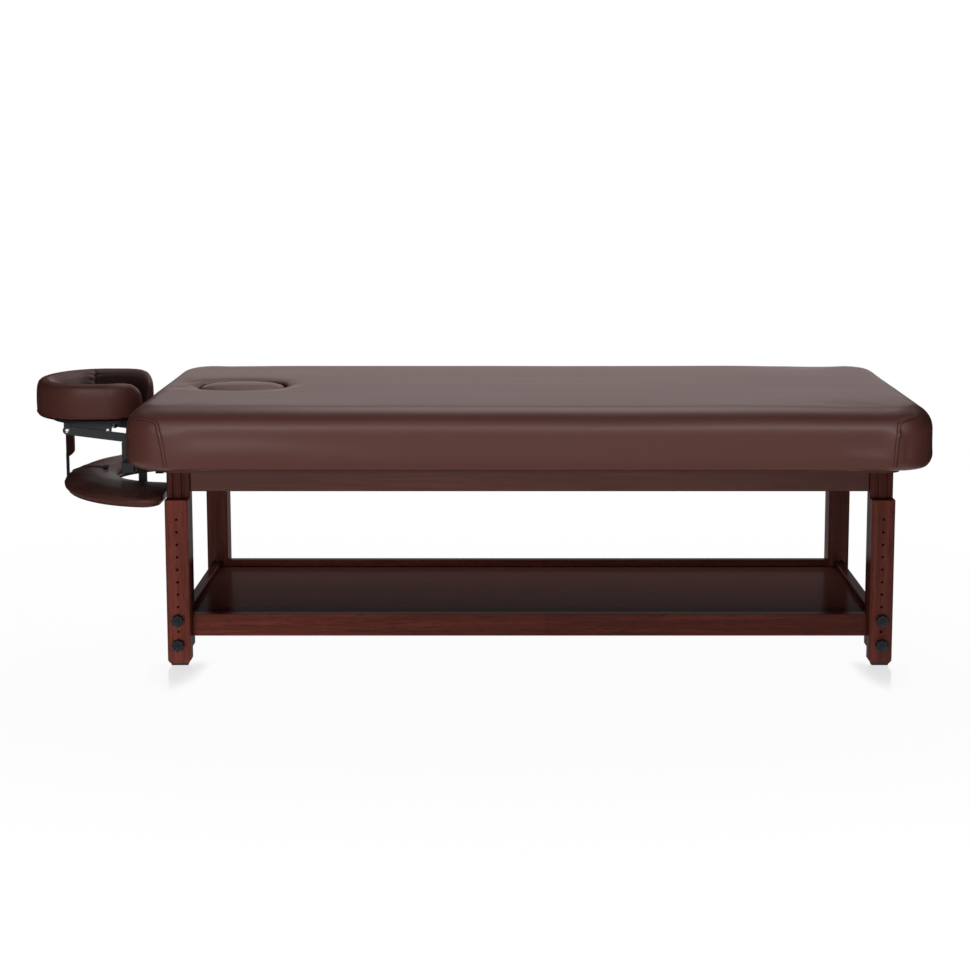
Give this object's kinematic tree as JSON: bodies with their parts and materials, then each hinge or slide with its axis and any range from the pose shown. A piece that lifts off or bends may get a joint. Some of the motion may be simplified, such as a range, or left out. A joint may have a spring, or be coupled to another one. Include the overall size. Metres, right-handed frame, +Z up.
{
  "type": "massage table",
  "caption": "Padded treatment table on a wooden height-adjusting frame with a storage shelf, a tilting horseshoe face cradle and a hanging padded arm shelf.",
  "frame": {"origin": "on the floor, under the middle of the whole table with its face cradle", "axes": "+X along the table towards its foot end, +Y across it away from the front, +Z up"},
  "size_m": [2.153, 0.762, 0.635],
  "materials": {
    "brown_vinyl": "satin",
    "mahogany": "satin",
    "shelf_laminate": "gloss",
    "plywood": "matte",
    "black_enamel": "satin",
    "black_plastic": "matte",
    "bright_steel": "polished",
    "dark_webbing": "matte"
  },
  "bodies": {
    "standing_leg": {"leg_front_head": "mahogany", "glide_front_head": "black_plastic"},
    "frame": {"top_cushion": "brown_vinyl", "top_deck": "plywood", "post_front_head": "mahogany", "post_front_foot": "mahogany", "post_back_head": "mahogany", "post_back_foot": "mahogany", "bolt_front_head_lower": "bright_steel", "bolt_front_head_upper": "bright_steel", "bolt_front_foot_lower": "bright_steel", "bolt_front_foot_upper": "bright_steel", "bolt_back_head_lower": "bright_steel", "bolt_back_head_upper": "bright_steel", "bolt_back_foot_lower": "bright_steel", "bolt_back_foot_upper": "bright_steel", "apron_front": "mahogany", "apron_back": "mahogany", "apron_head": "mahogany", "apron_foot": "mahogany", "shelf_rail_front": "mahogany", "shelf_rail_back": "mahogany", "shelf_rail_head": "mahogany", "shelf_rail_foot": "mahogany", "shelf_panel": "shelf_laminate"},
    "front_foot_leg": {"leg_front_foot": "mahogany", "glide_front_foot": "black_plastic"},
    "back_head_leg": {"leg_back_head": "mahogany", "glide_back_head": "black_plastic"},
    "back_foot_leg": {"leg_back_foot": "mahogany", "glide_back_foot": "black_plastic"},
    "front_head_lower_knob": {"knob_front_head_lower": "black_plastic"},
    "front_head_upper_knob": {"knob_front_head_upper": "black_plastic"},
    "front_foot_lower_knob": {"knob_front_foot_lower": "black_plastic"},
    "front_foot_upper_knob": {"knob_front_foot_upper": "black_plastic"},
    "back_head_lower_knob": {"knob_back_head_lower": "black_plastic"},
    "back_head_upper_knob": {"knob_back_head_upper": "black_plastic"},
    "back_foot_lower_knob": {"knob_back_foot_lower": "black_plastic"},
    "back_foot_upper_knob": {"knob_back_foot_upper": "black_plastic"},
    "plug": {"face_hole_plug": "brown_vinyl"},
    "cradle": {"cradle_base": "black_enamel", "cradle_dowel_near": "black_enamel", "cradle_dowel_far": "black_enamel", "rear_strap_near": "dark_webbing", "rear_strap_far": "dark_webbing"},
    "arms": {"cradle_arm_near": "black_enamel", "cradle_arm_far": "black_enamel", "arm_rod": "bright_steel", "platform_rod": "bright_steel"},
    "platform": {"cradle_platform": "black_plastic", "platform_bracket_near": "black_enamel", "platform_bracket_far": "black_enamel", "lock_rod": "bright_steel", "cradle_cushion": "brown_vinyl"},
    "lever": {"cam_lever": "black_plastic"},
    "nose_strap": {"front_strap": "dark_webbing"},
    "arm_shelf": {"arm_pad": "brown_vinyl", "arm_board": "brown_vinyl"}
  },
  "joints": [
    {"name": "height_adjust", "type": "slide", "parent": "standing_leg", "child": "frame", "axis": [0, 0, 1], "range_m": [0, 0.2376]},
    {"name": "front_foot_leg_slide", "type": "slide", "parent": "frame", "child": "front_foot_leg", "axis": [0, 0, 1], "range_m": [-0.2376, 0]},
    {"name": "back_head_leg_slide", "type": "slide", "parent": "frame", "child": "back_head_leg", "axis": [0, 0, 1], "range_m": [-0.2376, 0]},
    {"name": "back_foot_leg_slide", "type": "slide", "parent": "frame", "child": "back_foot_leg", "axis": [0, 0, 1], "range_m": [-0.2376, 0]},
    {"name": "front_head_lower_knob_turn", "type": "hinge", "parent": "frame", "child": "front_head_lower_knob", "pos_m": [-0.6845, -0.2988, 0.0528], "axis": [0, 1, 0], "continuous": true},
    {"name": "front_head_upper_knob_turn", "type": "hinge", "parent": "frame", "child": "front_head_upper_knob", "pos_m": [-0.6845, -0.2988, 0.1122], "axis": [0, 1, 0], "continuous": true},
    {"name": "front_foot_lower_knob_turn", "type": "hinge", "parent": "frame", "child": "front_foot_lower_knob", "pos_m": [0.9575, -0.2988, 0.0528], "axis": [0, 1, 0], "continuous": true},
    {"name": "front_foot_upper_knob_turn", "type": "hinge", "parent": "frame", "child": "front_foot_upper_knob", "pos_m": [0.9575, -0.2988, 0.1122], "axis": [0, 1, 0], "continuous": true},
    {"name": "back_head_lower_knob_turn", "type": "hinge", "parent": "frame", "child": "back_head_lower_knob", "pos_m": [-0.6845, 0.2988, 0.0528], "axis": [0, 1, 0], "continuous": true},
    {"name": "back_head_upper_knob_turn", "type": "hinge", "parent": "frame", "child": "back_head_upper_knob", "pos_m": [-0.6845, 0.2988, 0.1122], "axis": [0, 1, 0], "continuous": true},
    {"name": "back_foot_lower_knob_turn", "type": "hinge", "parent": "frame", "child": "back_foot_lower_knob", "pos_m": [0.9575, 0.2988, 0.0528], "axis": [0, 1, 0], "continuous": true},
    {"name": "back_foot_upper_knob_turn", "type": "hinge", "parent": "frame", "child": "back_foot_upper_knob", "pos_m": [0.9575, 0.2988, 0.1122], "axis": [0, 1, 0], "continuous": true},
    {"name": "plug_lift", "type": "slide", "parent": "frame", "child": "plug", "axis": [0, 0, 1], "range_m": [0, 0.16]},
    {"name": "cradle_slide", "type": "slide", "parent": "frame", "child": "cradle", "axis": [-1, 0, 0], "range_m": [0, 0.1]},
    {"name": "arm_tilt", "type": "hinge", "parent": "cradle", "child": "arms", "pos_m": [-0.8355, 0, 0.5012], "axis": [0, -1, 0], "range_deg": [-3, 15]},
    {"name": "platform_tilt", "type": "hinge", "parent": "arms", "child": "platform", "pos_m": [-0.9885, 0, 0.5207], "axis": [0, -1, 0], "range_deg": [-3, 30]},
    {"name": "lever_turn", "type": "hinge", "parent": "platform", "child": "lever", "pos_m": [-0.8905, 0, 0.5207], "axis": [0, -1, 0], "range_deg": [0, 75]},
    {"name": "nose_strap_swing", "type": "hinge", "parent": "arms", "child": "nose_strap", "pos_m": [-0.9885, 0, 0.5207], "axis": [0, -1, 0], "range_deg": [-15, 3]},
    {"name": "arm_shelf_tilt", "type": "hinge", "parent": "cradle", "child": "arm_shelf", "pos_m": [-0.8035, 0, 0.38235], "axis": [0, -1, 0], "range_deg": [-2.4, 12]}
  ],
  "couplings": [
    {"joint": "front_foot_leg_slide", "follows": "height_adjust", "ratio": -1},
    {"joint": "back_head_leg_slide", "follows": "height_adjust", "ratio": -1},
    {"joint": "back_foot_leg_slide", "follows": "height_adjust", "ratio": -1},
    {"joint": "nose_strap_swing", "follows": "arm_tilt", "ratio": -1},
    {"joint": "arm_shelf_tilt", "follows": "arm_tilt", "ratio": 0.79}
  ]
}
